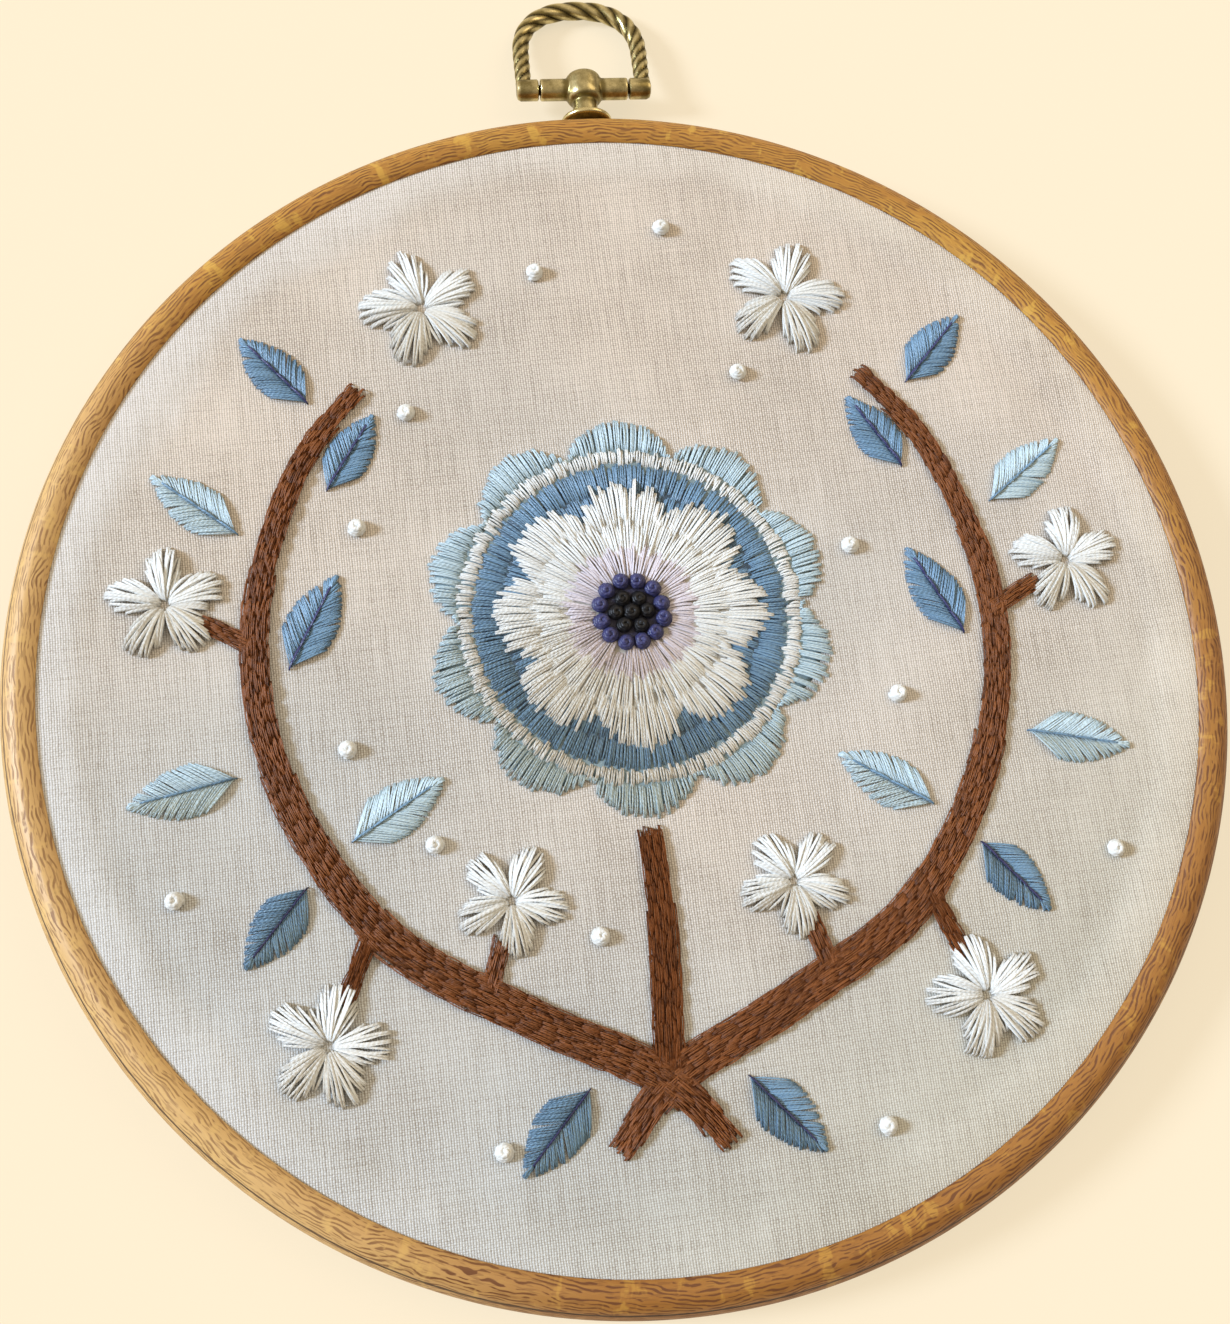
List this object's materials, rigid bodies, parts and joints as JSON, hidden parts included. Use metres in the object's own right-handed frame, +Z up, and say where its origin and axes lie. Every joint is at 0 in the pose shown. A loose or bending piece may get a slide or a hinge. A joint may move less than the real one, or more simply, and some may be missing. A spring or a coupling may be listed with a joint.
{
  "type": "embroidery hoop art",
  "caption": "Round stitched cloth held in a woodgrain hoop with a swinging brass D-shaped hanger; padded flowers, leaves, stems and knots.",
  "frame": {"origin": "on the surface the hoop lies on, under the middle of the whole outline, hanger included", "axes": "+Z up out of the stitched face, +Y from the hoop's centre towards the hanger, +X to the right of the picture"},
  "size_m": [0.2028, 0.2308, 0.0129],
  "materials": {
    "woodgrain_hoop": "satin woodgrain print",
    "inner_hoop_resin": "matte",
    "cotton_cloth": "plain weave cotton",
    "antique_brass": "antiqued, worn bright on the edges",
    "white_thread": "stranded cotton, slight sheen",
    "ice_blue_thread": "stranded cotton, slight sheen",
    "denim_thread": "stranded cotton, slight sheen",
    "navy_thread": "stranded cotton, slight sheen",
    "brown_thread": "stranded cotton, slight sheen"
  },
  "bodies": {
    "hoop": {"outer_hoop": "woodgrain_hoop", "inner_hoop": "inner_hoop_resin", "embroidered_cloth": "cotton_cloth", "hanger_fitting": "antique_brass", "stems": "brown_thread", "bloom_centre": "navy_thread", "bloom_inner_petals": "white_thread", "bloom_outer_petals": "ice_blue_thread", "blossom_left_1": "white_thread", "blossom_left_2": "white_thread", "blossom_left_3": "white_thread", "blossom_left_4": "white_thread", "blossom_right_1": "white_thread", "blossom_right_2": "white_thread", "blossom_right_3": "white_thread", "blossom_right_4": "white_thread", "leaf_left_1": "ice_blue_thread", "leaf_left_2": "denim_thread", "leaf_left_3": "ice_blue_thread", "leaf_left_4": "denim_thread", "leaf_left_5": "ice_blue_thread", "leaf_left_6": "denim_thread", "leaf_left_7": "denim_thread", "leaf_left_8": "denim_thread", "leaf_right_1": "ice_blue_thread", "leaf_right_2": "denim_thread", "leaf_right_3": "ice_blue_thread", "leaf_right_4": "denim_thread", "leaf_right_5": "ice_blue_thread", "leaf_right_6": "denim_thread", "leaf_right_7": "denim_thread", "leaf_right_8": "denim_thread", "knot_1": "white_thread", "knot_2": "white_thread", "knot_3": "white_thread", "knot_4": "white_thread", "knot_5": "white_thread", "knot_6": "white_thread", "knot_7": "white_thread", "knot_8": "white_thread", "knot_9": "white_thread", "knot_10": "white_thread", "knot_11": "white_thread", "knot_12": "white_thread", "knot_13": "white_thread", "knot_14": "white_thread"},
    "bail": {"hanger_bail": "antique_brass"}
  },
  "joints": [
    {"name": "bail_swing", "type": "hinge", "parent": "hoop", "child": "bail", "pos_m": [0, 0.09491, 0.005], "axis": [1, 0, 0], "range_deg": [0, 150]}
  ]
}
